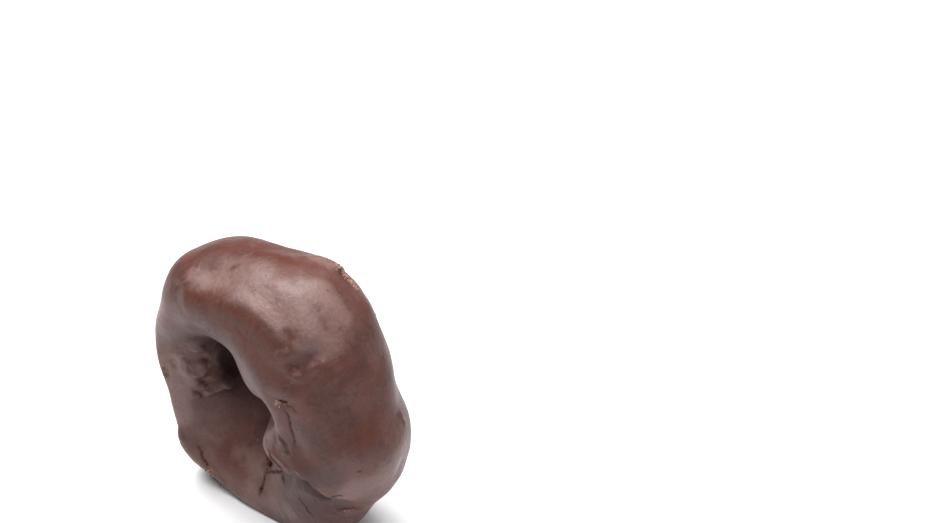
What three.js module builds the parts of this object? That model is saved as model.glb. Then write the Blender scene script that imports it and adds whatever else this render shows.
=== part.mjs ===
// A small ring doughnut coated in chocolate, standing on its flattened edge.
// Millimetres. X runs to the right of the shown face, Y away from it and Z up,
// with the origin in the middle underneath, on what it stands on.
import * as THREE from 'three';
import { mergeVertices } from 'three/addons/utils/BufferGeometryUtils.js';

// Driving dimensions
const ringSteps = 100;                      // around the ring
const sectionSteps = 44;                    // around the dough
const plainRing = { radius: 2, tube: 1 };   // the even ring that is given its shape below
const mergeGap = 1e-4;                      // points of it this close are one
const middle = { x: 0.5, z: 27.0 };         // of the outer edge
const hole = { x: -5.0, z: 27.0 };          // of the opening
const footLevel = 0;
const footKnee = 1.2;                       // how softly the foot turns up

// The dough at stations round the ring, by their angle from the right, anticlockwise.
// outer is the edge's distance from the middle and inner the wall's from the hole's,
// crest says how far out the front stands highest, from 0 at the wall to 1 at the edge,
// front and back are how far it stands out each way, under is the front beneath the
// fold, and slope flattens the way into the hole, from 1 for round to 2 for straight.
const stations = [
  { at: 0, outer: 28.3, inner: 6.5, crest: 0.45, front: 13.5, under: 12.0, back: 11.6, slope: 1.0 },
  { at: 17, outer: 26.3, inner: 7.0, crest: 0.45, front: 13.5, under: 13.5, back: 11.6, slope: 1.0 },
  { at: 40, outer: 27.9, inner: 5.4, crest: 0.45, front: 13.5, under: 13.5, back: 12.0, slope: 1.0 },
  { at: 68, outer: 30.6, inner: 7.8, crest: 0.42, front: 13.0, under: 13.0, back: 12.6, slope: 1.0 },
  { at: 100, outer: 29.6, inner: 10.0, crest: 0.45, front: 12.5, under: 12.5, back: 12.2, slope: 1.0 },
  { at: 130, outer: 32.3, inner: 10.4, crest: 0.55, front: 11.5, under: 11.5, back: 11.8, slope: 1.0 },
  { at: 143, outer: 29.8, inner: 10.0, crest: 0.63, front: 11.0, under: 11.0, back: 11.7, slope: 1.1 },
  { at: 155, outer: 28.9, inner: 9.5, crest: 0.7, front: 10.5, under: 10.5, back: 11.6, slope: 1.2 },
  { at: 185, outer: 25.4, inner: 9.0, crest: 0.75, front: 9.5, under: 9.5, back: 11.8, slope: 1.4 },
  { at: 210, outer: 27.9, inner: 8.5, crest: 0.76, front: 8.3, under: 8.3, back: 12.2, slope: 1.4 },
  { at: 221, outer: 32.3, inner: 8.5, crest: 0.75, front: 7.2, under: 7.2, back: 12.1, slope: 1.4 },
  { at: 231, outer: 32.8, inner: 8.5, crest: 0.74, front: 6.2, under: 6.2, back: 12.0, slope: 1.4 },
  { at: 245, outer: 31.0, inner: 8.7, crest: 0.74, front: 6.5, under: 5.8, back: 11.8, slope: 1.4 },
  { at: 262, outer: 30.4, inner: 8.8, crest: 0.72, front: 9.0, under: 6.2, back: 11.6, slope: 1.4 },
  { at: 280, outer: 30.2, inner: 8.8, crest: 0.68, front: 11.0, under: 6.6, back: 11.6, slope: 1.3 },
  { at: 298, outer: 29.8, inner: 8.0, crest: 0.6, front: 13.0, under: 7.4, back: 12.0, slope: 1.1 },
  { at: 320, outer: 26.9, inner: 6.5, crest: 0.5, front: 14.0, under: 9.0, back: 12.2, slope: 1.0 },
  { at: 342, outer: 28.2, inner: 5.8, crest: 0.45, front: 14.0, under: 10.0, back: 12.0, slope: 1.0 },
];
const belly = -0.5;                         // where the edge is widest, along Y
const throat = 4;                           // where the hole is narrowest, along Y

// The fold on the front, where the right side sags over the squashed bottom: its line
// from the hole to the edge, in X and Z, and how wide the step is
const foldLine = [[0, 27.4], [5, 25.6], [8.5, 22.8], [12, 21.3], [17.2, 20.9], [19, 17.8], [28, 15.6]];
const foldWidth = 1.3;
const waveHeight = 0.3;
const coreRadius = 18;                      // of the middle of the dough
const backCrest = 0.5;                      // how far out the back stands highest
const creaseReach = -4;                     // creases touch only the front before this Y

// Swellings and hollows: each is a soft push within a reach of its place
const strokes = [
  { name: 'swelling beside the hole', at: [8, -11, 25], reach: 6, push: [-1.0, -1.0, 0] },
  { name: 'swelling above it', at: [0.5, -10, 36], reach: 6, push: [-1.6, -0.5, -1.2] },
  { name: 'notch between them', at: [7, -11, 32], reach: 4.5, push: [1.2, 1.6, 0] },
  { name: 'hollow in the face', at: [16, -12, 41], reach: 6, push: [0, 0.8, 0] },
  { name: 'hollow above the right side', at: [24, 7, 34], reach: 7, push: [-0.3, 0, 0] },
  { name: 'flatter part of the back', at: [12, 12, 20], reach: 14, push: [0, -1.0, 0] },
  { name: 'hollow in the back', at: [-14, 11, 38], reach: 9, push: [0.5, -1.2, -0.5] },
  { name: 'upper lump in the hole', at: [-15.5, -6, 33], reach: 3, push: [1.2, -0.6, -0.3] },
  { name: 'middle lump in the hole', at: [-16, -4.6, 28], reach: 3, push: [1.2, -0.4, 0] },
  { name: 'lower lump in the hole', at: [-14.3, -1.2, 25], reach: 2.8, push: [1.4, -0.3, 0.3] },
];

// Creases: a groove along a line on the front, in X and Z
const creases = [
  {
    name: 'beside the swelling',
    line: [[11, 37], [13.5, 36.5], [14.5, 33], [15.5, 29]],
    width: 1.4,
    depth: 1.0,
  },
];

// A value of the stations at any angle, by a smooth curve that closes on itself
function around(name, angle) {
  const count = stations.length;
  const turn = THREE.MathUtils.euclideanModulo(angle, 360);
  const last = stations.findLastIndex((station) => station.at <= turn);
  const pick = (offset) => {
    const index = last + offset;
    const station = stations[THREE.MathUtils.euclideanModulo(index, count)];
    return { at: station.at + 360 * Math.floor(index / count), value: station[name] };
  };
  const [before, from, to, after] = [pick(-1), pick(0), pick(1), pick(2)];
  const span = to.at - from.at;
  const share = (turn - from.at) / span;
  const leave = (to.value - before.value) / (to.at - before.at) * span;
  const arrive = (after.value - from.value) / (after.at - from.at) * span;
  return from.value * (1 + 2 * share) * (1 - share) ** 2 + leave * share * (1 - share) ** 2
    + to.value * share ** 2 * (3 - 2 * share) + arrive * share ** 2 * (share - 1);
}

// How far a place lies above a line in X and Z, negative below it
function aboveLine(line, x, z) {
  let nearest = Infinity;
  let side = 1;
  for (let i = 1; i < line.length; i += 1) {
    const [ax, az] = line[i - 1];
    const [bx, bz] = line[i];
    const length = (bx - ax) ** 2 + (bz - az) ** 2;
    const share = THREE.MathUtils.clamp(((x - ax) * (bx - ax) + (z - az) * (bz - az)) / length, 0, 1);
    const distance = Math.hypot(x - ax - share * (bx - ax), z - az - share * (bz - az));
    if (distance < nearest) {
      nearest = distance;
      side = Math.sign((bx - ax) * (z - az) - (bz - az) * (x - ax)) || 1;
    }
  }
  return side * nearest;
}

// A point of the dough's skin: turn is the angle round the ring, tuck the angle round
// the section, from the outer edge over the front, the hole's wall and the back
function skin(turn, tuck) {
  const angle = THREE.MathUtils.radToDeg(turn);
  const size = (name) => around(name, angle);
  const cos = Math.cos(tuck);
  const sin = Math.sin(tuck);
  const isFront = sin > 0;
  const bend = isFront && cos < 0 ? size('slope') : 1;
  const crest = isFront ? size('crest') : backCrest;
  const share = cos > 0 ? crest + (1 - crest) * cos : crest * (1 - (-cos) ** bend);
  const x = share * (middle.x + size('outer') * Math.cos(turn))
    + (1 - share) * (hole.x + size('inner') * Math.cos(turn));
  const z = share * (middle.z + size('outer') * Math.sin(turn))
    + (1 - share) * (hole.z + size('inner') * Math.sin(turn));
  const rest = cos > 0 ? belly : throat;
  const lift = THREE.MathUtils.smoothstep(aboveLine(foldLine, x, z), -foldWidth, foldWidth);
  const front = THREE.MathUtils.lerp(size('under'), size('front'), lift);
  const y = isFront ? rest - (front + rest) * sin ** bend : rest - (size('back') - rest) * sin;
  return new THREE.Vector3(x, y, z);
}

// Slow waves over the whole skin, as no side of such dough is quite even
function wave(point) {
  const { x, y, z } = point;
  return Math.sin(0.29 * x + 0.21 * z + 0.8) * Math.cos(0.26 * y - 0.17 * z)
    + 0.6 * Math.sin(0.41 * z - 0.33 * y + 2.1) * Math.cos(0.37 * x + 0.5);
}

function sculpt(point, turn) {
  const core = new THREE.Vector3(
    THREE.MathUtils.lerp(hole.x, middle.x, 0.5) + coreRadius * Math.cos(turn),
    0,
    middle.z + coreRadius * Math.sin(turn),
  );
  const outward = point.clone().sub(core).normalize();
  point.addScaledVector(outward, waveHeight * wave(point));
  for (const stroke of strokes) {
    const share = point.distanceTo(new THREE.Vector3(...stroke.at)) / stroke.reach;
    if (share < 1) {
      point.addScaledVector(new THREE.Vector3(...stroke.push), (1 - share ** 2) ** 2);
    }
  }
  for (const crease of creases) {
    if (point.y < creaseReach) {
      point.y += crease.depth * Math.exp(-((aboveLine(crease.line, point.x, point.z) / crease.width) ** 2));
    }
  }
}

function pressFoot(point) {
  const height = point.z - footLevel;
  if (height < -footKnee) {
    point.z = footLevel;
  } else if (height < footKnee) {
    point.z = footLevel + (height + footKnee) ** 2 / (4 * footKnee);
  }
}

function makeRing() {
  const ring = new THREE.TorusGeometry(plainRing.radius, plainRing.tube, sectionSteps, ringSteps);
  ring.deleteAttribute('normal');
  ring.deleteAttribute('uv');
  const geometry = mergeVertices(ring, mergeGap);
  const places = geometry.getAttribute('position');
  const at = new THREE.Vector3();
  for (let i = 0; i < places.count; i += 1) {
    at.fromBufferAttribute(places, i);
    const turn = Math.atan2(at.y, at.x);
    const tuck = Math.atan2(at.z, Math.hypot(at.x, at.y) - plainRing.radius);
    const point = skin(turn, tuck);
    sculpt(point, turn);
    pressFoot(point);
    places.setXYZ(i, point.x, point.y, point.z);
  }
  geometry.computeBoundingBox();
  const centre = geometry.boundingBox.getCenter(new THREE.Vector3());
  geometry.translate(-centre.x, -centre.y, 0);
  geometry.computeVertexNormals();
  return geometry;
}

const chocolate = new THREE.MeshStandardMaterial({ color: 0x5c3b36, roughness: 0.5, metalness: 0 });
const doughnut = new THREE.Mesh(makeRing(), chocolate);
doughnut.name = 'doughnut';

const group = new THREE.Group();
group.add(doughnut);
export default group;
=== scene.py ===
import math
import random
import bmesh
import bpy
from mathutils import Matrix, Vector, noise
from mathutils.bvhtree import BVHTree
from mathutils.kdtree import KDTree


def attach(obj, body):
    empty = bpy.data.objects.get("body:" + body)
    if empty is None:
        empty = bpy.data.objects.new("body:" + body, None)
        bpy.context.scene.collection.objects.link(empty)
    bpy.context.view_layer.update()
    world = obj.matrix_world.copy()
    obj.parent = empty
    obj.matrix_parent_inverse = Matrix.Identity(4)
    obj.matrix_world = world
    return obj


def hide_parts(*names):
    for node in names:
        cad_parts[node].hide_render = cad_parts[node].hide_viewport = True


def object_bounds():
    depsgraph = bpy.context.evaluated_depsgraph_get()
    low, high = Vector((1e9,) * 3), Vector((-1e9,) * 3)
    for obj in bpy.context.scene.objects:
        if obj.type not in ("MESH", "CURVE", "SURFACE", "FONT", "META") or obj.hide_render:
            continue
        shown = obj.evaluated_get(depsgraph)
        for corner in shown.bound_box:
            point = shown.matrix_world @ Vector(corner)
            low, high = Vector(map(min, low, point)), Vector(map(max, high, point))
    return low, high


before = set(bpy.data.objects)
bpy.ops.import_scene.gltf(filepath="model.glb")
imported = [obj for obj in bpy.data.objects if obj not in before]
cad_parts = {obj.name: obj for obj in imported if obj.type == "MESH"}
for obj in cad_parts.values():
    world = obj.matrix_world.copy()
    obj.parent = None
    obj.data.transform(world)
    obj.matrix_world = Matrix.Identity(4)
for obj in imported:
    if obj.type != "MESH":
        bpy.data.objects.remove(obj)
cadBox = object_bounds()
mm = 0.001                                # places and sizes below are millimetres, but for the studio's


def milli(place):
    return Vector(place) * mm


def softStep(low, high, value):
    # 0 at low and 1 at high with a soft rise, also where high is the lower one
    share = min(max((value - low) / (high - low), 0), 1)
    return share * share * (3 - 2 * share)


def insideBox(place):
    # the nearest place that lies in the solid's box
    return [min(max(value, low), high) for value, low, high in zip(place, *cadBox)]


def newObject(name, shape):
    mesh = bpy.data.meshes.new(name)
    shape.to_mesh(mesh)
    shape.free()
    thing = bpy.data.objects.new(name, mesh)
    bpy.context.scene.collection.objects.link(thing)
    return thing


class Wire:
    # A node's output: sums with it add Math nodes
    def __init__(self, paint, socket):
        self.paint = paint
        self.socket = socket

    def maths(self, operation, first, second):
        return self.paint.add("ShaderNodeMath", {"operation": operation}, {0: first, 1: second})

    def __add__(self, other):
        return self.maths("ADD", self, other)

    def __radd__(self, other):
        return self.maths("ADD", other, self)

    def __sub__(self, other):
        return self.maths("SUBTRACT", self, other)

    def __rsub__(self, other):
        return self.maths("SUBTRACT", other, self)

    def __mul__(self, other):
        return self.maths("MULTIPLY", self, other)

    def __rmul__(self, other):
        return self.maths("MULTIPLY", other, self)

    def between(self, low, high):
        # 0 at low and 1 at high, as softStep
        return self.paint.add("ShaderNodeMapRange", {"interpolation_type": "SMOOTHSTEP"},
                              {"Value": self, "From Min": low, "From Max": high})


class Paint:
    # The nodes of one material, or of the world
    def __init__(self, owner, shader="Principled BSDF"):
        owner.use_nodes = True
        self.owner = owner
        self.tree = owner.node_tree
        self.shader = self.tree.nodes[shader]

    def add(self, kind, settings=None, sockets=None, out=0):
        node = self.tree.nodes.new(kind)
        for name, value in (settings or {}).items():
            setattr(node, name, value)
        for name, value in (sockets or {}).items():
            self.join(value, node.inputs[name])
        return Wire(self, node.outputs[out])

    def join(self, value, socket):
        if isinstance(value, Wire):
            self.tree.links.new(value.socket, socket)
        else:
            socket.default_value = value

    def mark(self, name):
        return self.add("ShaderNodeAttribute", {"attribute_name": name}, out="Fac")

    def onPiece(self, size):
        # the sockets of a pattern that lies still on the piece
        return {"Vector": self.add("ShaderNodeTexCoord", out="Object"), "Scale": 1 / (size * mm)}

    def noise(self, size, detail, rough):
        sockets = {**self.onPiece(size), "Detail": detail, "Roughness": rough}
        return self.add("ShaderNodeTexNoise", {}, sockets)

    def dots(self, size, radius, share, core=0.4, soft=0.02):
        # round spots in a share of the cells of a size, full out to the core's share of the radius
        where = self.onPiece(size)
        spot = self.add("ShaderNodeTexVoronoi", {}, where).between(radius, radius * core)
        chance = self.add("ShaderNodeTexVoronoi", {}, where, "Color")
        chance = self.add("ShaderNodeSeparateColor", {}, {"Color": chance}, "Red")
        return spot * chance.between(1 - share, 1 - share + soft)

    def mix(self, share, first, second, how="MIX"):
        return self.add("ShaderNodeMix", {"data_type": "RGBA", "blend_type": how},
                        {"Factor": share, 6: first, 7: second}, 2)

    def blend(self, parts, shares, start=0):
        # the sum of some parts, each times its share
        return sum((parts[name] * share for name, share in shares.items()), start)

    def grey(self, value):
        sockets = {"Red": value, "Green": value, "Blue": value}
        return self.add("ShaderNodeCombineColor", {}, sockets, "Color")

    def bump(self, height):
        sockets = {"Strength": 1.0, "Distance": 1.0, "Height": height * mm}
        return self.add("ShaderNodeBump", {}, sockets, "Normal")

    def finish(self, **sockets):
        for name, value in sockets.items():
            self.join(value, self.shader.inputs[name.replace("_", " ")])
        return self.owner


# What the doughnut's skin is marked with, for its colour; inside is painted shade deep in the hole, crack
# also paints shade into cracks and pits, the thick marks are partly painted shade and the pale marks partly
# painted highlight
markNames = ("crack", "bare", "red", "bloom_and_painted_highlight", "thick_coat_and_painted_shade", "inside")

chocolate = {
    "coat": (0.109, 0.046, 0.038, 1),
    "deep": (0.070, 0.028, 0.023, 1),     # where the coat is thicker, and painted shade where the thick marks lay it
    "rust": (0.082, 0.022, 0.013, 1),     # where it is thin and the crust shows through
    "haze": (0.196, 0.118, 0.106, 1),     # where it has bloomed; where the bloom marks lay it, also painted highlight and painted reflection
    "fleck": (0.170, 0.075, 0.050, 1),    # specks of crust
    "dough": (0.310, 0.175, 0.130, 1),
    "dark": (0.022, 0.008, 0.006, 1),     # painted shade in cracks, pits, pores, under the lobe and deep in the hole
    "specular": 0.38,
    "index": 1.45,                        # of refraction
    "gloss": 0.33,                        # roughness where it is smoothest
    # what makes it rougher, and by how much, or smoother
    "rougher": {"cloud": 0.14, "mottle": 0.1, "torn": 0.25, "crack": 0.2, "inside": 0.5, "red": 0.14,
                "bloom_and_painted_highlight": -0.04},
    # size, detail and roughness of each
    "patterns": {"patches": (9.0, 2, 0.5), "blotch": (5.2, 3, 0.6), "cloud": (3.6, 3, 0.55),
                 "mottle": (1.3, 4, 0.6), "grain": (0.42, 3, 0.6)},
    # size of the cells, radius in them and share of them that has a spot
    "spots": {"speckles": (1.9, 0.14, 0.12), "flecks": (1.4, 0.24, 0.16), "pores": (1.2, 0.17, 0.2)},
    "crustRise": (0.45, 0.6),             # from where to where in the mottle a fleck shows
    # the colours laid over the coat, in order: what each follows and how much of it, from where
    # to where in that it rises, and how strongly it covers
    "layers": [
        # random patches, and painted shade where the thick marks lie
        {"colour": "deep", "of": {"patches": 1, "thick_coat_and_painted_shade": 0.5}, "rise": (0.42, 0.72), "cover": 1},
        {"colour": "rust", "of": {"red": 0.75, "blotch": 0.5, "mottle": 0.35}, "rise": (0.46, 0.92),
         "cover": 0.9},
        # bloom, and painted highlight and painted reflection where the bloom marks lie, less where the
        # painted shade lies
        {"colour": "haze", "of": {"cloud": 0.75, "mottle": 0.25, "bloom_and_painted_highlight": 0.34, "thick_coat_and_painted_shade": -0.26},
         "rise": (0.47, 0.88), "cover": 0.7},
        {"colour": "deep", "of": {"mottle": 1, "cloud": 0.4}, "rise": (0.58, 0.90), "cover": 0.4},
        # painted shade where the thick marks lie, and darker thick coat
        {"colour": "dark", "of": {"thick_coat_and_painted_shade": 1}, "rise": (0.4, 1.2), "cover": 0.4},
        {"colour": "haze", "of": {"speckles": 1}, "cover": 0.6},
        {"colour": "fleck", "of": {"crust": 1}, "cover": 0.6},
        # painted shade in the tiny pores
        {"colour": "dark", "of": {"pores": 1}, "cover": 0.5},
        # painted shade deep in the hole
        {"colour": "dark", "of": {"inside": 1}, "cover": 0.95},
    ],
    # how light it stays where its small patterns darken it most, and what each gives back, with
    # where it rises
    "leastLight": 0.78,
    "light": {"grain": (0.25, 0.75, 0.20), "mottle": (0.3, 0.7, 0.24)},
    # where it is torn: how much the grain frays the edge, how the dough starts, and how crumbs
    # of coat are mixed into it
    "torn": {"fray": 0.6, "rise": (0.35, 0.6), "mixed": (0.3, 0.7)},
    # painted shade in the cracks and pits: where it rises and how strongly it covers
    "cracks": {"rise": (0.2, 0.95), "cover": 0.75},
    # heights that the bump gives each
    "bump": {"mottle": 0.12, "grain": 0.025, "cloud": 0.16, "flecks": 0.02, "speckles": 0.02,
             "pores": -0.05, "tornGrain": 0.15},
}


def chocolateFinish():
    paint = Paint(bpy.data.materials.new("chocolate"))
    parts = {name: paint.mark(name) for name in markNames}
    parts.update({name: paint.noise(*pattern) for name, pattern in chocolate["patterns"].items()})
    parts.update({name: paint.dots(*spot) for name, spot in chocolate["spots"].items()})
    parts["crust"] = parts["flecks"] * parts["mottle"].between(*chocolate["crustRise"])
    grain, torn = parts["grain"], chocolate["torn"]
    frayed = parts["bare"] + grain * torn["fray"] - torn["fray"] / 2
    parts["torn"] = frayed.between(*torn["rise"])
    parts["tornGrain"] = parts["torn"] * grain

    colour = chocolate["coat"]
    for layer in chocolate["layers"]:
        share = paint.blend(parts, layer["of"])
        if "rise" in layer:
            share = share.between(*layer["rise"])
        colour = paint.mix(share * layer["cover"], colour, chocolate[layer["colour"]])
    light = chocolate["leastLight"]
    for name, (low, high, share) in chocolate["light"].items():
        light = parts[name].between(low, high) * share + light
    colour = paint.mix(1.0, colour, paint.grey(light), "MULTIPLY")
    dough = paint.mix(grain.between(*torn["mixed"]), chocolate["dough"], chocolate["coat"])
    colour = paint.mix(parts["torn"], colour, dough)
    # painted shade in the cracks and pits
    cracks = chocolate["cracks"]
    dark = parts["crack"].between(*cracks["rise"]) * cracks["cover"]
    colour = paint.mix(dark, colour, chocolate["dark"])

    rough = paint.blend(parts, chocolate["rougher"], chocolate["gloss"])
    height = paint.blend(parts, chocolate["bump"])
    return paint.finish(Base_Color=colour, Roughness=rough, Normal=paint.bump(height),
                        Specular_IOR_Level=chocolate["specular"], IOR=chocolate["index"])


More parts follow.
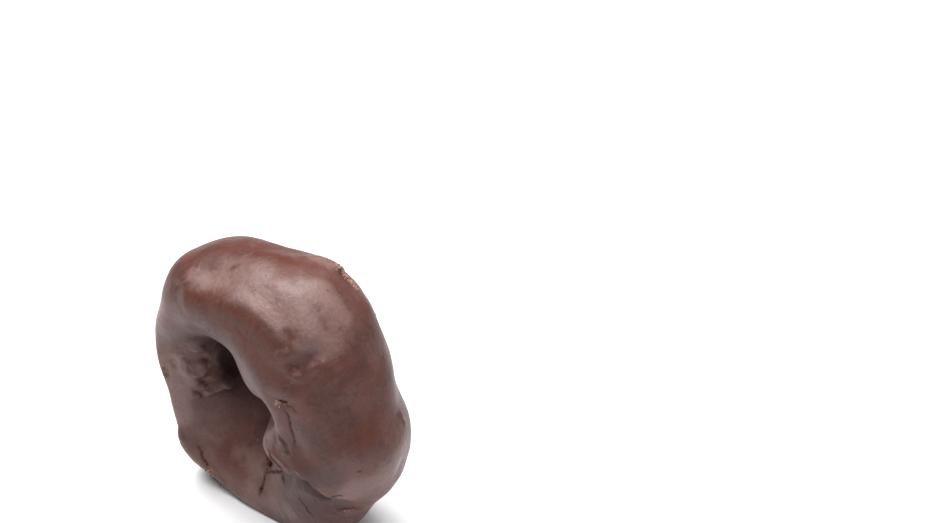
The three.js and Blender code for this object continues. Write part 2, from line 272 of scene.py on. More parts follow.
# The doughnut's skin
skin = {
    "levels": 2,                          # how often the whole skin is made finer
    "weld": 0.01,                         # corners of the solid this close are one
    "fineReach": 1.0,                     # how far round a line it is made finer once more
    "fineForms": 1.6,                     # forms that reach less far are made finer too
    "lineStep": 0.12,                     # spacing of the places along a line
    "waves": [(6.5, 0.16), (2.4, 0.055)],  # sizes and heights of the soft unevenness
    "footHeight": 1.2,                    # the relief fades out towards the floor from here
    "seed": 3,                            # of the cracks' wandering
    "wander": [(0.9, 1.0), (2.7, 0.5)],   # waves of that to the millimetre, and how far they go
    "ragSize": 1.3,                       # of the raggedness at the edge of a form
    "spotEdge": 1.5,                      # how softly a spot of colour ends

    # Soft forms, each along a line: how far they reach, how high they stand and how steep
    # their sides are, 2 for a soft swelling and 0.5 for a lump that sits on the skin. They
    # go along the skin's own direction unless they have a way, and their edge is as ragged
    # as rag says.
    "forms": [
        {"what": "roll-over above the hole", "reach": 4.2, "height": 0.6, "side": 2,
         "line": [(-12.5, -10.4, 49.5), (-8.8, -10.2, 50.4), (-6.3, -10.2, 50.9), (-2.5, -10.2, 51.3),
                  (1.2, -10.2, 51.3), (4.5, -10.3, 50.5), (7.1, -10.7, 49), (9.5, -10.9, 46.5)]},
        {"what": "flat above the roll-over", "reach": 5.0, "height": -0.4, "side": 2,
         "line": [(-11.8, -6.9, 53.2), (-6.3, -7.3, 53.8), (-1, -7.7, 54.2), (3.6, -8.1, 53.7),
                  (7.4, -8.2, 52.7)]},
        {"what": "lip of the lobe", "reach": 1.2, "height": 0.35, "side": 1.1, "way": (0, -0.4, -0.7),
         "line": [(8.5, -13.2, 24.4), (10.6, -13.2, 23), (12.1, -13, 22.8), (14.5, -12.9, 23),
                  (16.8, -12.3, 22.4), (17.6, -11.9, 21.3), (18.2, -11.5, 20.1), (18.9, -11, 19.2),
                  (20.1, -10.1, 19.1)]},
        {"what": "cavity under the lobe", "reach": 3.1, "height": 1.4, "side": 1.6,
         "way": (0, 1, 0.35), "rag": 0.2,
         "line": [(5, -6.8, 14.5), (8.1, -8.3, 16.8), (11, -8.7, 17.6), (13.5, -8.5, 17.4),
                  (15.2, -7.8, 16.2)]},
        {"what": "edge under the lobe", "reach": 0.9, "height": 0.7, "side": 1.2,
         "way": (0, 1, 0.2), "rag": 0.4,
         "line": [(11.6, -12.7, 21.6), (13.6, -12.4, 21.9), (15.6, -12.1, 21.4), (16.7, -11.8, 20.4),
                  (17.4, -11.2, 19.2), (18.4, -10.4, 18.4)]},
        {"what": "dent in the face", "reach": 2.2, "height": -0.7, "side": 1.5, "rag": 0.35,
         "line": [(12.6, -10.4, 44.3), (13.3, -9.9, 44.7), (14, -9.4, 45.2), (14.8, -8.6, 46.2),
                  (15.5, -7.8, 46.9)]},
        {"what": "ridge under the dent", "reach": 1.2, "height": 0.45, "side": 1.4, "rag": 0.3,
         "line": [(11.5, -11, 43.8), (12.4, -10.6, 42.9), (13.2, -10.3, 42.2)]},
        {"what": "hollow over the dent", "reach": 1.2, "height": -0.3, "side": 1.6, "rag": 0.4,
         "line": [(10.2, -9.4, 49.8), (10.7, -9.8, 48.8), (11, -10.1, 47.6)]},
        {"what": "ridge right of the dent", "reach": 1.6, "height": 0.15, "side": 2, "rag": 0.4,
         "line": [(16.6, -7.8, 45.2), (18.1, -7, 44.4), (19.4, -6, 43.6)]},
        {"what": "ridge outside the hole", "reach": 1.5, "height": 0.55, "side": 1.6, "rag": 0.5,
         "line": [(-20.4, -7.1, 31.6), (-20.2, -6.9, 29.6), (-19.9, -6.6, 28)]},
        {"what": "hollow beside the ridge", "reach": 1.0, "height": -0.25, "side": 1.6, "rag": 0.4,
         "line": [(-21.5, -7.8, 30.2), (-21.4, -7.7, 29.2)]},
        {"what": "lump at the top of the hole", "reach": 1.3, "height": 0.5, "side": 1.5, "rag": 0.4,
         "line": [(-17.3, -5.6, 33.3), (-16.5, -5.1, 33.3)]},
        {"what": "lump beyond it", "reach": 1.2, "height": 0.4, "side": 1.5, "rag": 0.4,
         "line": [(-16.9, -2.9, 30.9), (-16.7, -2.2, 30.2)]},
        {"what": "edge of the step in the hole", "reach": 1.3, "height": 0.45, "side": 1.5, "rag": 0.4,
         "line": [(-17.3, -4.4, 29.3), (-17.3, -4, 28.4), (-17.8, -4.3, 26.8)]},
        {"what": "notch in the step", "reach": 0.8, "height": -0.15, "side": 1.4, "rag": 0.4,
         "line": [(-17.8, -3.5, 25.6), (-17.9, -3.9, 25.1)]},
        {"what": "lump under the notch", "reach": 1.2, "height": 0.4, "side": 1.5, "rag": 0.4,
         "line": [(-18.5, -4.5, 24), (-18, -3.9, 23.6)]},
        {"what": "lump outside the step", "reach": 1.6, "height": 0.4, "side": 1.6, "rag": 0.5,
         "line": [(-19.4, -6, 26.8), (-19, -5.6, 25.2)]},
        {"what": "hollow over the ledge", "reach": 1.6, "height": -0.3, "side": 1.4, "rag": 0.3,
         "line": [(-16.6, -2.4, 26.6), (-16.2, -1.2, 26.2)]},
        {"what": "drop beyond the step", "reach": 2.2, "height": -1.3, "side": 1.2, "rag": 0.3,
         "line": [(-15.9, -0.2, 32.6), (-16, 0.4, 30), (-15.8, 0.9, 27.4), (-15.4, 1.6, 25.4)]},
        {"what": "ledge in the hole", "reach": 1.4, "height": 1.3, "side": 0.9, "rag": 0.4,
         "line": [(-17.2, -2.8, 22.4), (-16.3, -1.3, 22.9), (-15.6, -0.1, 23.6)]},
        {"what": "tip of the ledge", "reach": 0.9, "height": 0.9, "side": 0.9, "rag": 0.3,
         "line": [(-15.6, -0.1, 23.8), (-15.4, 0.5, 24.3)]},
        {"what": "knob under the ledge", "reach": 0.9, "height": 0.35, "side": 1.3, "rag": 0.5,
         "line": [(-19.1, -5.6, 21.9), (-18.6, -4.9, 21.8)]},
        {"what": "slit's upper lip", "reach": 0.8, "height": 0.25, "side": 1.5,
         "line": [(8.9, -13.2, 25), (10.3, -13.3, 24.1), (12.2, -13.2, 23.3)]},
        {"what": "notch by the slit", "reach": 0.8, "height": -0.4, "side": 1,
         "line": [(13.9, -13, 22.8), (14.2, -13, 22.7)]},
        {"what": "scuffed hollow", "reach": 1.9, "height": -0.2, "side": 1.5, "rag": 0.4,
         "line": [(14.8, -12.5, 25.9), (16.6, -12.2, 25.4)]},
        {"what": "pouch's wrinkle", "reach": 0.8, "height": -0.35, "side": 1.5, "rag": 0.3,
         "line": [(10.2, -12.9, 29.3), (11, -12.8, 28.9), (11.9, -12.8, 28.1), (12.3, -12.7, 27)]},
        {"what": "pouch's second wrinkle", "reach": 0.9, "height": -0.2, "side": 2,
         "line": [(8.7, -12.8, 30), (9.3, -12.8, 27.8), (9.1, -12.8, 26.4)]},
        {"what": "swollen rim", "reach": 3.0, "height": 0.55, "side": 1.6,
         "line": [(3.4, 6.4, 55.6), (5.2, 6.8, 55.3), (7, 7.1, 54.8)]},
        {"what": "lifted coat on the rim", "reach": 1.1, "height": 0.35, "side": 0.9,
         "way": (0.1, 0.6, 0.7), "rag": 0.2,
         "line": [(3.8, 6.7, 55.5), (5.6, 7.2, 55.2), (7.3, 7.4, 54.8), (8.6, 7.5, 54.3)]},
        {"what": "edge of the broken rim", "reach": 0.6, "height": 0.3, "side": 1.0, "rag": 0.3,
         "line": [(8.6, 7.5, 54.4), (9.8, 7.6, 53.9), (11.2, 7.7, 53), (12.4, 7.8, 52)]},
        {"what": "hollow before the rim", "reach": 0.8, "height": -0.25, "side": 1.4, "rag": 0.3,
         "line": [(8.4, 6.3, 54.7), (9.6, 6.5, 54.2), (11, 6.6, 53.3), (12.2, 6.8, 52.3)]},
        {"what": "pit at the left edge", "reach": 0.8, "height": -0.6, "side": 1,
         "line": [(-22.9, -9, 28), (-22.9, -9, 26.9)]},
        {"what": "bump on the right edge", "reach": 1.1, "height": 0.22, "side": 1.5, "rag": 0.6,
         "line": [(25.2, 4.2, 31.4), (25.7, 4.3, 30)]},
        {"what": "bump at the lower left", "reach": 1.1, "height": 0.35, "side": 1.3, "rag": 0.5,
         "line": [(-22.4, -7, 12.4), (-22.3, -6.9, 11.6)]},
        {"what": "crumbled foot at the left", "reach": 1.6, "height": 0.3, "side": 1.2, "rag": 0.5,
         "line": [(-18, -5.9, 5.6), (-16, -5.6, 4.4), (-13.6, -5.5, 3.2)]},
        {"what": "lump on the back", "reach": 3.2, "height": 0.6, "side": 1.6, "rag": 0.4,
         "line": [(9, 12.2, 33), (10.5, 12, 30.5)]},
        {"what": "flatter crown", "reach": 6.0, "height": -0.3, "side": 2,
         "line": [(-4, 5, 56.6), (2, 5.5, 56.6)]},
        {"what": "fuller left shoulder", "reach": 7.0, "height": 0.45, "side": 2,
         "line": [(-23, -4, 47.5), (-24.5, -3, 41.5)]},
        {"what": "fuller right shoulder", "reach": 5.0, "height": 0.35, "side": 2,
         "line": [(15.5, 6.8, 49), (18.5, 6.2, 46)]},
        {"what": "fuller right side", "reach": 4.5, "height": 0.4, "side": 2,
         "line": [(23, 3, 38.5), (24, 3.5, 35.5)]},
        {"what": "fuller left foot", "reach": 4.0, "height": 0.6, "side": 2,
         "line": [(-21.8, -5.2, 9.5), (-20.2, -5.3, 6)]},
        {"what": "soft swelling on the back", "reach": 7.0, "height": 0.5, "side": 2,
         "line": [(-16, 9.5, 46), (-19.5, 9, 40)]},
        {"what": "wrinkle over the hole at the back", "reach": 1.1, "height": -0.3, "side": 1.6, "rag": 0.4,
         "line": [(-3.5, 12.2, 40.5), (-0.5, 12.4, 42), (2.5, 12.6, 41.8)]},
        {"what": "dent in the back", "reach": 2.6, "height": -0.55, "side": 1.6, "rag": 0.35,
         "line": [(14.5, 11.8, 38), (16.5, 11.2, 36.5)]},
        {"what": "ridge by the dent in the back", "reach": 1.3, "height": 0.3, "side": 1.5, "rag": 0.35,
         "line": [(13.2, 12.2, 36), (14.8, 11.9, 34.6)]},
        {"what": "small lumps on the back", "reach": 1.0, "height": 0.35, "side": 1.3, "rag": 0.6,
         "line": [(-16.5, 11, 24), (-16.2, 11, 23.4)]},
        {"what": "small lumps beside them", "reach": 0.9, "height": 0.3, "side": 1.3, "rag": 0.6,
         "line": [(-14.4, 11.3, 22.2), (-14.2, 11.3, 21.9)]},
        {"what": "hollow on the top", "reach": 4.5, "height": -0.35, "side": 2,
         "line": [(-9, 4, 55.6), (-3, 6, 56.2)]},
        {"what": "fold on the back", "reach": 1.8, "height": -0.6, "side": 1.5, "rag": 0.3,
         "line": [(-2, 12.6, 12), (3.5, 12.2, 10.5), (9, 11.3, 12), (12.5, 10.5, 15)]},
        {"what": "dent on the right side", "reach": 2.6, "height": -0.4, "side": 1.6, "rag": 0.3,
         "line": [(26, 2, 22), (26.4, 4.5, 20.5)]},
        {"what": "dent on the left side", "reach": 2.4, "height": -0.4, "side": 1.6, "rag": 0.3,
         "line": [(-25, 2, 30), (-25.2, 4.5, 27)]},
    ],

    # Cracks in the coat, each along a line: their half width and depth, and how they wander
    "cracks": [
        {"what": "beside the swelling", "width": 0.2, "depth": 0.32, "jag": 0.2,
         "line": [(11.5, -12.1, 36), (12.5, -12.3, 34.7), (12.9, -12.3, 33.1), (13.2, -12.2, 31.4),
                  (13.5, -12.1, 29.7), (13.7, -12.2, 28.4)]},
        {"what": "slit under the swelling", "width": 0.28, "depth": 0.45, "jag": 0.3,
         "line": [(7.6, -13.1, 25.4), (9, -13.2, 24.4), (10.2, -13.3, 23.6), (11.6, -13.2, 22.8)]},
        {"what": "deep crack below the fold", "width": 0.95, "depth": 1.6, "jag": 0.6,
         "line": [(-2.3, -2.7, 12.3), (-3, -3, 11.4), (-3.4, -3.2, 10.6)]},
        {"what": "crack down to the foot", "width": 0.27, "depth": 0.8, "jag": 0.6,
         "line": [(-2.5, -3.5, 10.2), (-2.9, -3.8, 9.1), (-2.9, -4.2, 8.2), (-3.2, -4.5, 7),
                  (-3, -4.8, 6.1), (-3.4, -5.1, 4.9)]},
        {"what": "gap in the crack", "width": 0.42, "depth": 0.9, "jag": 0.3,
         "line": [(-3.1, -4.8, 6.6), (-3.1, -4.9, 5.6)]},
        {"what": "crack along the fold", "width": 0.24, "depth": 0.5, "jag": 0.4,
         "line": [(-2.3, -3.6, 10.3), (-0.9, -3.9, 11), (1, -4.8, 12.4), (3.2, -5.9, 13.8)]},
        {"what": "under the lobe's edge", "width": 0.26, "depth": 0.7, "jag": 0.3,
         "line": [(12.3, -12.8, 22.2), (14.3, -12.8, 22.3), (15.6, -12.5, 22), (16.8, -12.1, 21.7),
                  (17.5, -11.7, 20.6), (18.2, -11.2, 19.4)]},
        {"what": "faint crack under the fold", "width": 0.22, "depth": 0.16, "jag": 0.6,
         "line": [(9.4, -7.4, 11.6), (10.8, -7.2, 10.1), (11.3, -7, 9.2), (11.7, -6.6, 8)]},
        {"what": "red crack at the right", "width": 0.4, "depth": 0.6, "jag": 0.5,
         "line": [(18.2, -5.2, 11.7), (18.9, -4.7, 11.7), (20.1, -4.2, 12.5)]},
        {"what": "crack at the left foot", "width": 0.24, "depth": 0.35, "jag": 0.4,
         "line": [(-18.8, -5.7, 10), (-18.3, -5.5, 7.9), (-17.4, -5.5, 6.6), (-16.6, -5.4, 4.9)]},
        {"what": "crease on the lobe", "width": 0.3, "depth": 0.25, "jag": 0.3,
         "line": [(19.8, -10.1, 18.9), (21, -9.4, 19), (21.8, -8.9, 19.2)]},
        {"what": "short crease on the right", "width": 0.2, "depth": 0.15, "jag": 0.2,
         "line": [(24.2, -7.7, 25.2), (25, -7, 25.1)]},
        {"what": "crack at the tan tip", "width": 0.24, "depth": 0.3, "jag": 0.3,
         "line": [(10.2, -12.2, 36.9), (11.2, -12, 36.9), (11.9, -11.8, 37.2)]},
        {"what": "thin crack from the tip", "width": 0.14, "depth": 0.05, "jag": 0.3,
         "line": [(11.5, -12.1, 36.6), (13, -11.6, 36.4), (14.4, -11.2, 35.8)]},
        {"what": "along the broken rim", "width": 0.24, "depth": 0.4, "jag": 0.3,
         "line": [(8.1, 6.7, 54.9), (9.6, 6.9, 54.2), (11, 7.1, 53.3), (12, 7.2, 52.5)]},
        {"what": "split on the back", "width": 0.36, "depth": 0.5, "jag": 0.6,
         "line": [(-9, 12.3, 14), (-7.6, 12.4, 11.6), (-7.9, 12.2, 9), (-6.8, 11.6, 6.6)]},
        {"what": "hairline on the left side", "width": 0.18, "depth": 0.25, "jag": 0.5,
         "line": [(-26, -0.5, 23), (-26, 1.2, 20.8), (-26, 1.6, 18.2)]},
        {"what": "hairline on the right side", "width": 0.18, "depth": 0.2, "jag": 0.5,
         "line": [(27, 6, 16), (26, 7.5, 14), (25, 8, 11.5)]},
        {"what": "side split on the back", "width": 0.28, "depth": 0.35, "jag": 0.5,
         "line": [(-7.8, 12.3, 10.4), (-5.6, 12.4, 9.6)]},
    ],
    "cut": {                              # the shape of every crack
        "reach": 2.6,                     # of its lips, in half widths
        "opens": 5,                       # how fast it grows deeper from its ends
        "end": 0.3,                       # share of the depth that it has there
        "ragged": 0.5,                    # how uneven its width is
        "raggedSize": 0.7,
        "side": 0.8,                      # how steep its sides are
        "lipAt": 1.5,                     # where its lips stand highest, in half widths
        "lipWidth": 0.6,
        "lip": 0.10,                      # their height as a share of the depth
        "dark": 1.6,                      # how soon its painted shade is full
        "red": 0.7,                       # how red the coat is round it
    },

    # Where the coat is broken and the dough shows
    "bare": [
        {"reach": 0.7,
         "line": [(7.4, 6.9, 54.8), (8.6, 7.1, 54.4), (9.8, 7.3, 53.9), (11.2, 7.5, 53),
                  (12.6, 7.6, 51.9)]},
        {"reach": 0.7, "line": [(9.9, -12.5, 36.6), (10.2, -12.5, 36)]},
        {"reach": 0.9, "line": [(-16.6, -5.4, 5.2), (-15.6, -5.3, 4.5)]},
        {"reach": 0.6, "line": [(18.4, -4.6, 11), (19.6, -4, 11.5)]},
        {"reach": 0.6, "line": [(-25.2, 5.5, 39), (-25.4, 6, 38.2)]},
        {"reach": 0.5, "line": [(25.5, 4.2, 30.9), (25.8, 4.3, 29.8)]},
        {"reach": 0.8, "line": [(1.6, 12.9, 50.2), (2.6, 12.9, 49.4)]},
        {"reach": 0.6, "line": [(17.5, 10.6, 24), (18.3, 10.2, 22.8)]},
        {"reach": 0.8, "line": [(-7.4, 12.3, 11), (-7.7, 12.2, 9.6)]},
    ],
    "tear": {
        "fill": 1.25,                     # how far out it is all bare
        "ragged": 0.45,                   # how uneven its edge is
        "grain": 0.5,                     # size of its grains
        "height": 0.16,                   # and their height
    },

    # Where the coat is thin and shows red, and how strongly
    "red": [
        {"reach": 2.6, "share": 1.3, "line": [(14.4, -12.6, 26.1), (16.9, -12.1, 25.5)]},
        {"reach": 2.8, "share": 0.8, "line": [(16, -5.6, 10.8), (19.8, -4.2, 12)]},
        {"reach": 2.8, "share": 0.7,
         "line": [(-2.6, -3, 12.4), (-2.9, -4.2, 8.2), (-3.3, -5, 5.2)]},
        {"reach": 5.0, "share": 0.6, "line": [(-12.5, -3.7, 9.5), (-6.5, -3.4, 11)]},
        {"reach": 4.2, "share": 1.0,
         "line": [(-12.3, -10.7, 48.8), (-6.6, -10.6, 49.6), (-2, -10.8, 49.4), (1.5, -11.2, 48.6),
                  (4.3, -11.5, 47.6), (7.5, -11.8, 45.5)]},
        {"reach": 4.0, "share": 0.85,
         "line": [(2.5, -12.1, 45.2), (7, -12.4, 43), (12, -11.6, 40.5)]},
        {"reach": 4.0, "share": 0.35,
         "line": [(8, 3, 56), (13.5, 4.4, 52.6), (17.6, 5, 47.4)]},
        {"reach": 5.0, "share": 0.6,
         "line": [(-16.1, -6, 52.4), (-9, 1.5, 55.2), (0, 1, 56)]},
        {"reach": 5.0, "share": 0.5,
         "line": [(14, -10, 43), (18, -8, 44), (21, -1, 42)]},
        {"reach": 4.0, "share": 0.5, "line": [(24, -6, 31), (24.5, -2, 34)]},
        {"reach": 6.0, "share": 0.6, "line": [(-2, 12.5, 47), (9, 12.6, 44)]},
        {"reach": 5.0, "share": 0.5, "line": [(15, 11, 18), (8, 11.5, 10)]},
        {"reach": 4.0, "share": 0.7, "line": [(-26, 0.5, 21), (-26, 4.5, 14)]},
        {"reach": 4.0, "share": 0.5, "line": [(-24, 8, 42), (-20, 9.5, 48)]},
    ],

    # Where it has bloomed, and painted highlight and painted reflection of the floor on the top, the lit
    # lumps and the lower slopes
    "bloom_and_painted_highlight": [
        # painted highlights along the top
        {"reach": 4.2, "share": 1.0,
         "line": [(-15, -9, 51), (-8, -6, 53.8), (0, -6.5, 54.6), (5, -8, 53.2)]},
        {"reach": 4.5, "share": 1.0,
         "line": [(8, -7.5, 52.5), (13, -6.5, 51.5), (16.5, -5.5, 48.5)]},
        # painted reflection and painted highlight down the left side, on the hole's outer ridge and its
        # lumps
        {"reach": 3.5, "share": 0.8, "line": [(-21, -9.8, 43), (-23, -9, 34)]},
        {"reach": 3.5, "share": 1.3,
         "line": [(-22.4, -8.4, 30), (-21.6, -7.6, 26), (-21.5, -7.5, 17)]},
        {"reach": 2.0, "share": 1.6,
         "line": [(-20.4, -7.2, 31.4), (-20, -6.8, 28), (-19.5, -6.2, 25.5)]},
        {"reach": 1.2, "share": 1.0, "line": [(-17.2, -5.4, 33.3), (-16.7, -5.2, 33.3)]},
        {"reach": 2.4, "share": 0.8, "line": [(12.6, -9, 48.6), (13.6, -8, 48.4)]},
        {"reach": 1.8, "share": 1.3, "line": [(3.4, 5.9, 55.7), (7.2, 6.4, 55)]},
        {"reach": 2.2, "share": 1.0, "line": [(15.5, -5.6, 9.6), (19, -4.2, 9.8)]},
        {"reach": 1.3, "share": 0.8, "line": [(-16.2, -1.6, 23.2), (-15.4, 0.5, 24.3)]},
        {"reach": 4.5, "share": 1.0,
         "line": [(9, -2, 55), (13.5, -1, 53), (16, -2.5, 50.5)]},
        {"reach": 4.0, "share": 0.7,
         "line": [(-9.5, -3.4, 10.5), (-4.5, -3.6, 8.5), (-5.5, -4.6, 4.5)]},
        {"reach": 3.4, "share": 0.6,
         "line": [(-12, -4.5, 54.2), (-6, -3.5, 55.2), (0, -4, 55.8)]},
        {"reach": 3.6, "share": 1.0,
         "line": [(6, -5, 55), (11, -5.5, 53.4), (13, -7, 50.8)]},
        {"reach": 4.5, "share": 1.15,
         "line": [(22.5, -7.5, 20), (25.5, -3, 21.5), (26.5, 2, 25)]},
        {"reach": 3.5, "share": 0.7, "line": [(-6, -5.5, 2.5), (6, -6.6, 6)]},
        {"reach": 5.0, "share": 0.5, "line": [(6.5, 12.8, 28), (-14, 11.4, 30)]},
    ],

    # Where it is darker: partly thicker coat, partly painted shade in the cavity under the lobe, in the
    # dent, on the hole's roof and in the bands above the hole
    "thick_coat_and_painted_shade": [
        # painted shade in the cavity under the lobe
        {"reach": 4.0, "share": 1.2,
         "line": [(5, -7.5, 15.5), (9.5, -8.7, 17), (14, -8.5, 16.8)]},
        {"reach": 6.5, "share": 0.55, "line": [(16.5, -12, 33), (18, -11.6, 26.5)]},
        {"reach": 4.5, "share": 0.5, "line": [(18.5, -9.8, 38), (21.5, -8.4, 33)]},
        {"reach": 5.0, "share": 0.6, "line": [(-26, 3, 30), (-25.5, -3, 35)]},
        {"reach": 5.0, "share": 0.5, "line": [(20, 9, 36), (24, 5, 40)]},
        {"reach": 5.0, "share": 0.5, "line": [(-12, 12, 20), (-16, 11.5, 14)]},
        # painted shade in the dent
        {"reach": 2.0, "share": 0.3, "line": [(12.9, -10, 44.5), (14.6, -8.8, 46)]},
        # painted shade in the band where the face turns into the hole
        {"reach": 4.2, "share": 0.62,
         "line": [(-13, -10.3, 43.8), (-6, -11.2, 44.8), (1.5, -12.3, 44.2), (6, -12.8, 40)]},
        # painted shade on the hole's roof
        {"reach": 2.8, "share": 1.3,
         "line": [(-16.4, -9.2, 39), (-15.9, -8.2, 38.3), (-15.6, -6.8, 37), (-15.8, -5, 35.2),
                  (-16, -3.2, 33.4)]},
        {"reach": 4.4, "share": 0.6, "line": [(-20.8, -9.2, 36), (-17, -10.2, 39.5)]},
        {"reach": 4.6, "share": 0.95,
         "line": [(12.5, -12.9, 27.5), (17, -12.2, 24), (20.5, -10.8, 23.5)]},
        {"reach": 6.0, "share": 1.0,
         "line": [(6.5, -7, 11.5), (9, -7.2, 11), (12.5, -6.7, 11.5), (17, -6.2, 12.5)]},
        # painted shade in a second band above the hole
        {"reach": 3.6, "share": 0.55,
         "line": [(-9, -10.6, 47.6), (-2, -11.2, 48.2), (3.5, -11.6, 47.2), (7.5, -11.9, 44.5)]},
        {"reach": 3.0, "share": 0.6,
         "line": [(0, -10.6, 50.6), (4.5, -10.9, 49.2), (7, -11.3, 47)]},
        {"reach": 3.5, "share": 0.7,
         "line": [(-12.5, -10.2, 50.3), (-16.5, -9.3, 49.6), (-17, -8, 52)]},
    ],

    # Streaks drawn towards the hole where the coat ran, over the red band above it
    "streaks": {
        "centre": (-5, 27),               # X and Z of the hole
        "lowest": 38,                     # they end here, above the hole's rim
        "width": 0.8,                     # of one streak
        "length": 5.0,
        "radius": 20,                     # of the band, to turn an angle into a width
        "height": 0.05,
        "noise": (0.6, 2, 3),           # how rough it is, and its steps
        "thin": (-0.5, 0.6),              # from where to where in it the coat gets thin
        "thick_coat_and_painted_shade": 0.9,                     # how dark the rest is
        "red": 0.6,                       # and how much of its red it keeps
    },

    # Painted shade deep in the hole, where the coat's colour is darkened
    "hole": {
        "centre": (-5.5, 27.5),           # X and Z
        "reach": (16, 21),                # out to where it is dark, and where that ends
        "facing": (0.05, 0.5),            # how much a wall turns to the middle
        "front": -2.8,                    # along Y, where it starts to darken
        "dark": 1.0,                      # and from where it is darkest
        "roof": 30,                       # above this the dark comes further forward,
        "rise": 0.74,                     # by this for each millimetre
        "floor": (14, 25),                # below, where the dark ends and where it is full
        "back": (11, 4),                  # and the same behind, along Y
    },

    "pits": {
        "placed": [(2.1, -2.2, 56.8), (6.8, -6.6, 54.6), (6.9, -7, 54.1), (8.4, -4.9, 55.2),
                   (11.6, -4.5, 54.2), (11.7, -11.6, 40.1), (3.3, -11.4, 35.6)],
        "placedSize": (0.36, 0.26),       # radius and depth
        "scattered": 130,
        "radius": (0.22, 0.5),
        "depth": (0.06, 0.2),
        "edge": 1.4,                      # their soft edge reaches so many radii
        # painted shade in the pits
        "dark": 0.5,
        "seed": 7,
    },
}


def placesAlong(line):
    # evenly spaced places along a line, each with its share of the way
    line = [milli(place) for place in line]
    spans = [(end - start).length for start, end in zip(line, line[1:])]
    gone = 0
    for start, end, span in zip(line, line[1:], spans):
        steps = max(1, round(span / (skin["lineStep"] * mm)))
        for step in range(steps + 1):
            yield start.lerp(end, step / steps), (gone + span * step / steps) / sum(spans)
        gone += span


def wanderAt(place):
    far = Vector()
    for waves, share in skin["wander"]:
        far += share * noise.noise_vector(place * waves / mm)
    return far


def nearLine(line, reach, tree, surface, jag=0):
    # the points of the skin near a line laid on it: their distance as a share of reach,
    # and their share of the way along the line
    found = {}
    for place, way in placesAlong(line):
        place = surface.find_nearest(place + wanderAt(place) * jag * mm)[0]
        for _, index, distance in tree.find_range(place, reach * mm):
            if index not in found or distance < found[index][0]:
                found[index] = (distance, way)
    return {index: (distance / (reach * mm), way) for index, (distance, way) in found.items()}


def treeOf(points):
    tree = KDTree(len(points))
    for index, point in enumerate(points):
        tree.insert(point, index)
    tree.balance()
    return tree


def carriedSkin(node):
    # the solid's own surface as quads, made finer
    shape = bmesh.new()
    shape.from_mesh(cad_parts[node].data)
    bmesh.ops.remove_doubles(shape, verts=shape.verts, dist=skin["weld"] * mm)
    bmesh.ops.join_triangles(shape, faces=shape.faces, angle_face_threshold=math.pi,
                             angle_shape_threshold=math.pi)
    coarse = newObject("coarse", shape)
    finer = coarse.modifiers.new("finer", "SUBSURF")
    finer.levels = skin["levels"]
    finer.render_levels = skin["levels"]
    shape = bmesh.new()
    shape.from_object(coarse, bpy.context.evaluated_depsgraph_get())
    bpy.data.objects.remove(coarse)
    return shape


def refineSkin(shape):
    # one more level where cracks and small lumps need it
    shape.verts.ensure_lookup_table()
    tree = treeOf([vert.co for vert in shape.verts])
    surface = BVHTree.FromBMesh(shape)
    small = [form for form in skin["forms"] if form["reach"] < skin["fineForms"]]
    chosen = set()
    for stroke in skin["cracks"] + skin["bare"] + small:
        chosen.update(nearLine(stroke["line"], skin["fineReach"], tree, surface))
    edges = [edge for edge in shape.edges if all(vert.index in chosen for vert in edge.verts)]
    bmesh.ops.subdivide_edges(shape, edges=edges, cuts=1, use_grid_fill=True)
    print("skin faces", len(shape.faces), "of them refined round", len(edges), "edges")


def streakAt(point):
    streaks = skin["streaks"]
    across = point.x / mm - streaks["centre"][0]
    up = point.z / mm - streaks["centre"][1]
    turn = math.atan2(up, across) * streaks["radius"] / streaks["width"]
    where = Vector((turn, math.hypot(across, up) / streaks["length"], 0))
    return noise.fractal(where, *streaks["noise"])


def paintedShadeInHole(point, normal):
    # how much painted shade a point of the hole's wall gets, by how deep in the hole it lies
    hole = skin["hole"]
    across = point.x / mm - hole["centre"][0]
    up = point.z / mm - hole["centre"][1]
    away = math.hypot(across, up)
    facing = -(normal.x * across + normal.z * up) / away
    near, far = hole["reach"]
    depth = point.y / mm + hole["rise"] * max(0, point.z / mm - hole["roof"])
    share = softStep(hole["front"], hole["dark"], depth) * softStep(*hole["facing"], facing)
    share *= softStep(far, near, away)
    return share * softStep(*hole["floor"], point.z / mm) * softStep(*hole["back"], point.y / mm)


def everyPit(points):
    # place, radius and depth of each
    pits = skin["pits"]
    draw = random.Random(pits["seed"])
    for place in pits["placed"]:
        yield milli(place), *pits["placedSize"]
    for _ in range(pits["scattered"]):
        place = points[draw.randrange(len(points))]
        yield place, draw.uniform(*pits["radius"]), draw.uniform(*pits["depth"])


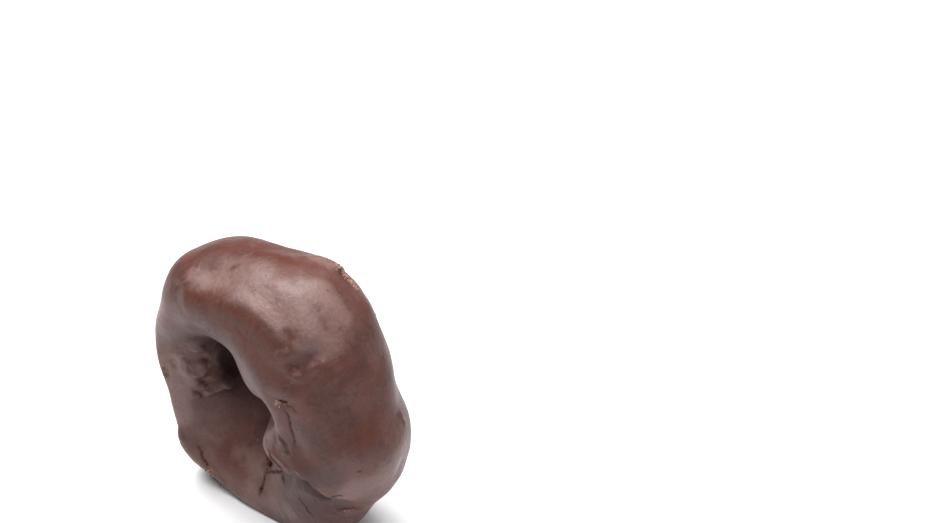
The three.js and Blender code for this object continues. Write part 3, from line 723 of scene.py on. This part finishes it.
class Carving:
    # The skin's points, how far each will move and how it is marked
    def __init__(self, shape):
        shape.normal_update()
        shape.verts.ensure_lookup_table()
        self.points = [vert.co.copy() for vert in shape.verts]
        self.normals = [vert.normal.copy() for vert in shape.verts]
        self.tree = treeOf(self.points)
        self.surface = BVHTree.FromBMesh(shape)
        self.push = [0.0] * len(self.points)              # along the normal
        self.shift = [Vector() for _ in self.points]      # any other way
        self.marks = {name: [0.0] * len(self.points) for name in markNames}

    def near(self, stroke, reach, jag=0):
        found = nearLine(stroke["line"], reach, self.tree, self.surface, jag)
        return [(index, away, way) for index, (away, way) in found.items()]

    def mark(self, name, index, value):
        self.marks[name][index] = max(self.marks[name][index], value)

    def addWaves(self):
        for size, height in skin["waves"]:
            for index, point in enumerate(self.points):
                self.push[index] += height * noise.noise(point / (size * mm))

    def markSpots(self):
        for name in ("red", "bloom_and_painted_highlight", "thick_coat_and_painted_shade"):
            for spot in skin[name]:
                for index, away, _ in self.near(spot, spot["reach"]):
                    self.mark(name, index, spot["share"] * max(0, 1 - away * away) ** skin["spotEdge"])

    def drawStreaks(self):
        streaks = skin["streaks"]
        for index, point in enumerate(self.points):
            red = self.marks["red"][index]
            if red > 0 and point.y < 0 and point.z > streaks["lowest"] * mm:
                streak = streakAt(point)
                thin = softStep(*streaks["thin"], streak)
                self.push[index] -= streaks["height"] * red * streak
                self.mark("thick_coat_and_painted_shade", index, streaks["thick_coat_and_painted_shade"] * red * (1 - thin))
                self.marks["red"][index] *= streaks["red"] + (1 - streaks["red"]) * thin

    def raiseForms(self):
        for form in skin["forms"]:
            for index, away, _ in self.near(form, form["reach"]):
                away *= 1 + form.get("rag", 0) * noise.noise(self.points[index] / (skin["ragSize"] * mm))
                high = form["height"] * max(0, 1 - away * away) ** form["side"]
                if "way" in form:
                    self.shift[index] += Vector(form["way"]) * high * mm
                else:
                    self.push[index] += high

    def tearBare(self):
        tear = skin["tear"]
        for spot in skin["bare"]:
            for index, away, _ in self.near(spot, spot["reach"]):
                ragged = noise.noise(self.points[index] / (tear["grain"] * mm))
                share = tear["fill"] * (1 - away) + tear["ragged"] * ragged
                self.mark("bare", index, min(max(share, 0), 1))
                self.push[index] += tear["height"] * share * ragged

    def cutCracks(self):
        cut = skin["cut"]
        for crack in skin["cracks"]:
            for index, away, way in self.near(crack, crack["width"] * cut["reach"], crack["jag"]):
                taper = min(1, cut["opens"] * way + cut["end"], cut["opens"] * (1 - way) + cut["end"])
                ragged = 1 + cut["ragged"] * noise.noise(self.points[index] / (cut["raggedSize"] * mm))
                inside = max(0, 1 - away * cut["reach"] * ragged)
                lip = math.exp(-((away * cut["reach"] - cut["lipAt"]) / cut["lipWidth"]) ** 2)
                self.push[index] -= crack["depth"] * taper * inside ** cut["side"]
                self.push[index] += cut["lip"] * crack["depth"] * taper * lip
                # painted shade in the crack
                self.mark("crack", index, taper * min(1, cut["dark"] * inside))
                self.mark("red", index, cut["red"] * taper * max(0, 1 - away))

    def sinkPits(self):
        pits = skin["pits"]
        for place, radius, depth in everyPit(self.points):
            reach = radius * mm * pits["edge"]
            for _, index, distance in self.tree.find_range(place, reach):
                away = distance / reach
                self.push[index] -= depth * (1 - away * away) ** 2
                # painted shade in the pit
                self.mark("crack", index, pits["dark"] * (1 - away))

    def paintShadeInHole(self):
        for index, (point, normal) in enumerate(zip(self.points, self.normals)):
            self.mark("inside", index, paintedShadeInHole(point, normal))

    def move(self, shape):
        for index, vert in enumerate(shape.verts):
            fade = softStep(0, skin["footHeight"] * mm, self.points[index].z)
            far = self.normals[index] * self.push[index] * mm + self.shift[index]
            vert.co = insideBox(self.points[index] + far * fade)


def makeDoughnut():
    noise.seed_set(skin["seed"])
    shape = carriedSkin("doughnut")
    refineSkin(shape)
    carving = Carving(shape)
    carving.addWaves()
    carving.markSpots()
    carving.drawStreaks()
    carving.raiseForms()
    carving.tearBare()
    carving.cutCracks()
    carving.sinkPits()
    carving.paintShadeInHole()
    carving.move(shape)
    for face in shape.faces:
        face.smooth = True
    piece = newObject("chocolate_doughnut", shape)
    for name, values in carving.marks.items():
        piece.data.attributes.new(name, "FLOAT", "POINT").data.foreach_set("value", values)
    piece.data.materials.append(chocolateFinish())
    print("doughnut made,", sum(len(face.vertices) - 2 for face in piece.data.polygons), "triangles")
    return piece


# Crumbs that cling to the skin
crumbs = {
    "rough": 0.55,                        # how uneven they are
    "grain": 1.9,                         # and how fine that is
    "finer": (2.3, 0.5),                  # a second grain, so much finer and lower
    "apart": 7.1,                         # from one crumb to the next in it, so that none are alike
    "sunk": 0.35,                         # share of a crumb's height that is in the skin
    "balls": 3,                           # how often the ball that one starts from is divided
    "between": (0.130, 0.070, 0.055, 1),  # colour between the grains of dough
    "pattern": (0.30, 3, 0.65),           # size, detail and roughness of those grains
    "doughRise": (0.35, 0.7),             # from where to where in the grain that colour comes
    "coatRise": (0.3, 0.7),               # and the bloom on their coat
    "fray": 0.5,                          # how much the grain frays the edge of the coat
    "bareRise": (0.4, 0.6),               # and how the dough starts there
    "roughness": 0.7,
    "rougher": 0.1,                       # what the grain adds to that
    "bump": 0.12,
    # the place of each, its size and how much of it is bare dough
    "places": [
        {"at": (-16.4, -5.4, 4.9), "size": 0.85, "bare": 1.0},
        {"at": (-15.7, -5.3, 4.2), "size": 0.7, "bare": 0.9},
        {"at": (-16.9, -5.4, 5.6), "size": 0.45, "bare": 0.6},
        {"at": (-18.2, -5.7, 3.4), "size": 0.4, "bare": 0.3},
        {"at": (-14, -5.2, 2.6), "size": 0.4, "bare": 0.4},
        {"at": (10, -12.7, 36.2), "size": 0.55, "bare": 0.6},
        {"at": (10.6, -12.5, 36.7), "size": 0.45, "bare": 0.6},
        {"at": (-2.7, -3.2, 11), "size": 0.5, "bare": 0.6},
        {"at": (-2.9, -3.7, 9.4), "size": 0.35, "bare": 0.3},
        {"at": (18.6, -4.6, 11), "size": 0.35, "bare": 0.6},
        {"at": (6.8, 7, 54.9), "size": 0.3, "bare": 0.9},
        {"at": (7.6, 7.5, 54.6), "size": 0.38, "bare": 1.0},
        {"at": (12.2, 7.9, 52.2), "size": 0.34, "bare": 0.9},
        {"at": (2.2, 12.9, 49.6), "size": 0.5, "bare": 0.9},
        {"at": (1.5, 12.9, 50.4), "size": 0.35, "bare": 0.7},
        {"at": (18, 10.4, 23.2), "size": 0.45, "bare": 0.8},
        {"at": (-15.5, 11.2, 33), "size": 0.35, "bare": 0.4},
        {"at": (-25.3, 5.8, 38.6), "size": 0.4, "bare": 0.9},
        {"at": (-24.5, 8.2, 12), "size": 0.3, "bare": 0.5},
        {"at": (19.4, -4, 11.2), "size": 0.35, "bare": 0.5},
        {"at": (8.6, 7.4, 54.8), "size": 0.4, "bare": 1.0},
        {"at": (10.8, 7.8, 53.5), "size": 0.3, "bare": 1.0},
        {"at": (-2.3, -5.7, 2.2), "size": 0.35, "bare": 0.2},
        {"at": (16.2, 7.5, 47.6), "size": 0.3, "bare": 0.6},
        {"at": (-7.6, 12.4, 10.2), "size": 0.45, "bare": 0.8},
    ],
}


def crumbFinish():
    paint = Paint(bpy.data.materials.new("crumb"))
    grain = paint.noise(*crumbs["pattern"])
    dough = paint.mix(grain.between(*crumbs["doughRise"]), chocolate["dough"], crumbs["between"])
    coat = paint.mix(grain.between(*crumbs["coatRise"]), chocolate["coat"], chocolate["haze"])
    frayed = paint.mark("bare") + grain * crumbs["fray"] - crumbs["fray"] / 2
    colour = paint.mix(frayed.between(*crumbs["bareRise"]), coat, dough)
    rough = crumbs["roughness"] + grain * crumbs["rougher"]
    return paint.finish(Base_Color=colour, Roughness=rough, Normal=paint.bump(grain * crumbs["bump"]))


def makeCrumbs(carrier):
    surface = BVHTree.FromObject(carrier, bpy.context.evaluated_depsgraph_get())
    shape = bmesh.new()
    bare = []
    finer, lower = crumbs["finer"]
    for number, crumb in enumerate(crumbs["places"]):
        place, normal = surface.find_nearest(milli(crumb["at"]))[:2]
        radius = crumb["size"] / 2 * mm
        middle = place + normal * radius * (1 - 2 * crumbs["sunk"])
        ball = bmesh.ops.create_icosphere(shape, subdivisions=crumbs["balls"], radius=radius)["verts"]
        for vert in ball:
            where = vert.co / radius * crumbs["grain"] + Vector((number * crumbs["apart"], 0, 0))
            size = 1 + crumbs["rough"] * (noise.noise(where) + lower * noise.noise(where * finer))
            vert.co = insideBox(middle + vert.co * size)
            bare.append(crumb["bare"])
    piece = newObject("crumbs", shape)
    piece.data.attributes.new("bare", "FLOAT", "POINT").data.foreach_set("value", bare)
    piece.data.materials.append(crumbFinish())
    print("crumbs made,", len(crumbs["places"]))
    return piece


# Soft square lights turned to the doughnut, and the floor, in metres and watts; azimuth 0 is
# in front and 90 at the right
studio = {
    "lights": [
        {"name": "left", "azimuth": -70, "elevation": 65, "power": 7.5},
        {"name": "front", "azimuth": 35, "elevation": 60, "power": 4.0},
        {"name": "leftBack", "azimuth": -120, "elevation": 75, "power": 5.1},
        {"name": "back", "azimuth": 180, "elevation": 75, "power": 3.2},
        {"name": "rightBack", "azimuth": 140, "elevation": 45, "power": 1.7},
    ],
    "size": 0.5,
    "distance": 0.85,
    "height": 0.03,                       # of the place they are turned to
    "colour": (1.0, 0.99, 0.985),
    "room": (0.045, 0.046, 0.050, 1),     # the dim light from all round
    "backdrop": (1.0, 1.0, 1.0, 1),       # what is seen behind the floor
    "floor": 0.5,                         # half its width
    "floorColour": (0.80, 0.808, 0.82, 1),
    "floorRoughness": 0.7,
}


def outwards(azimuth, elevation):
    # the direction from the middle to a light or to the camera
    turn, rise = math.radians(azimuth), math.radians(elevation)
    return Vector((math.sin(turn) * math.cos(rise), -math.cos(turn) * math.cos(rise), math.sin(rise)))


def panel(name, azimuth, elevation, power):
    light = bpy.data.lights.new(name, "AREA")
    light.size = studio["size"]
    light.energy = power
    light.color = studio["colour"]
    thing = bpy.data.objects.new(name, light)
    way = outwards(azimuth, elevation)
    thing.location = Vector((0, 0, studio["height"])) + way * studio["distance"]
    thing.rotation_euler = way.to_track_quat("Z", "Y").to_euler()
    bpy.context.scene.collection.objects.link(thing)


def makeStudio():
    for light in studio["lights"]:
        panel(**light)
    paint = Paint(bpy.data.worlds.new("room"), "Background")
    seen = paint.add("ShaderNodeLightPath", out="Is Camera Ray")
    bpy.context.scene.world = paint.finish(Color=paint.mix(seen, studio["room"], studio["backdrop"]))
    bpy.context.scene.view_settings.view_transform = "Standard"


def makeFloor():
    shape = bmesh.new()
    bmesh.ops.create_grid(shape, x_segments=1, y_segments=1, size=studio["floor"])
    floor = newObject("floor", shape)
    paint = Paint(bpy.data.materials.new("floor"))
    finish = paint.finish(Base_Color=studio["floorColour"], Roughness=studio["floorRoughness"])
    floor.data.materials.append(finish)
    return floor


# The camera looks past the doughnut, which so lies at the left of the picture
view = {
    "aim": (-31.1, 95.1, 0),
    "azimuth": 38,
    "elevation": 31,
    "distance": 463,
    "lens": 75.4,
    "nearest": 10,                        # what is nearer to the camera isn't seen
}


def makeCamera():
    camera = bpy.data.objects.new("camera", bpy.data.cameras.new("camera"))
    camera.data.lens = view["lens"]
    camera.data.clip_start = view["nearest"] * mm
    back = outwards(view["azimuth"], view["elevation"])
    camera.location = milli(view["aim"]) + back * view["distance"] * mm
    camera.rotation_euler = back.to_track_quat("Z", "Y").to_euler()
    bpy.context.scene.collection.objects.link(camera)
    bpy.context.scene.camera = camera


makeCamera()
makeStudio()
print("camera and lights made")
doughnut = makeDoughnut()
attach(doughnut, "root")
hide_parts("doughnut")
stuckCrumbs = makeCrumbs(doughnut)
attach(stuckCrumbs, "root")
makeFloor()
